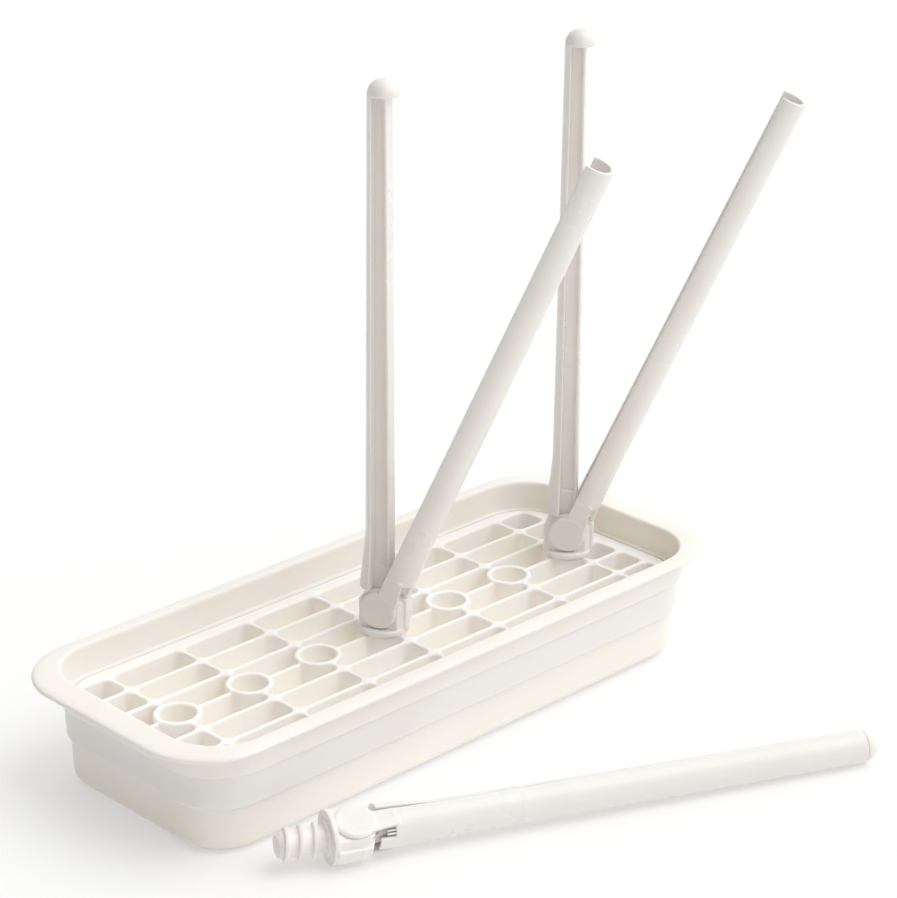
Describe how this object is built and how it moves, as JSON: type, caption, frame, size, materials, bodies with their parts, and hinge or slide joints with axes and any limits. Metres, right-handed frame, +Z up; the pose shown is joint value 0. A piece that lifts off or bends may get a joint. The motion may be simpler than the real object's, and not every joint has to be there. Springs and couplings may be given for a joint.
{
  "type": "bottle drying rack",
  "caption": "Rimmed drip tray with a lift-out drain grid of round sockets, and double pegs whose hinged outer arm opens to a V or folds shut over the inner arm.",
  "frame": {"origin": "middle of the tray's underside, on the table", "axes": "+Z up; +X along the tray's long side, towards the end socket that holds a peg; -Y towards the side the open arms lean to"},
  "size_m": [0.3854, 0.2829, 0.326],
  "materials": {
    "shell": "satin moulded polypropylene, warm white",
    "peg": "satin moulded polypropylene, cool white"
  },
  "bodies": {
    "tray": {"tray": "shell"},
    "grid": {"drain_grid": "shell"},
    "centre_peg": {"centre_peg_base": "peg", "centre_peg_inner_arm": "peg", "centre_peg_hinge_pin": "peg"},
    "centre_arm": {"centre_peg_outer_arm": "peg"},
    "end_peg": {"end_peg_base": "peg", "end_peg_inner_arm": "peg", "end_peg_hinge_pin": "peg"},
    "end_arm": {"end_peg_outer_arm": "peg"},
    "loose_peg": {"loose_peg_base": "peg", "loose_peg_inner_arm": "peg", "loose_peg_hinge_pin": "peg"},
    "loose_arm": {"loose_peg_outer_arm": "peg"}
  },
  "joints": [
    {"name": "grid_lift", "type": "slide", "parent": "tray", "child": "grid", "axis": [0, 0, 1], "range_m": [0, 0.06]},
    {"name": "centre_peg_pull", "type": "slide", "parent": "grid", "child": "centre_peg", "axis": [0, 0, 1], "range_m": [0, 0.03]},
    {"name": "centre_arm_fold", "type": "hinge", "parent": "centre_peg", "child": "centre_arm", "pos_m": [0, 0, 0.0575], "axis": [-0.8949, -0.4462, 0], "range_deg": [0, 23.5]},
    {"name": "end_peg_pull", "type": "slide", "parent": "grid", "child": "end_peg", "axis": [0, 0, 1], "range_m": [0, 0.03]},
    {"name": "end_arm_fold", "type": "hinge", "parent": "end_peg", "child": "end_arm", "pos_m": [0.132, 0, 0.0575], "axis": [-0.788, -0.6157, 0], "range_deg": [0, 23.5]},
    {"name": "loose_peg_lift", "type": "slide", "parent": "tray", "child": "loose_peg", "axis": [0, 0, 1], "range_m": [0, 0.12]},
    {"name": "loose_arm_open", "type": "hinge", "parent": "loose_peg", "child": "loose_arm", "pos_m": [-0.111, -0.0982, 0.01288], "axis": [0.1489, 0.3788, -0.9134], "range_deg": [0, 23.5]}
  ]
}
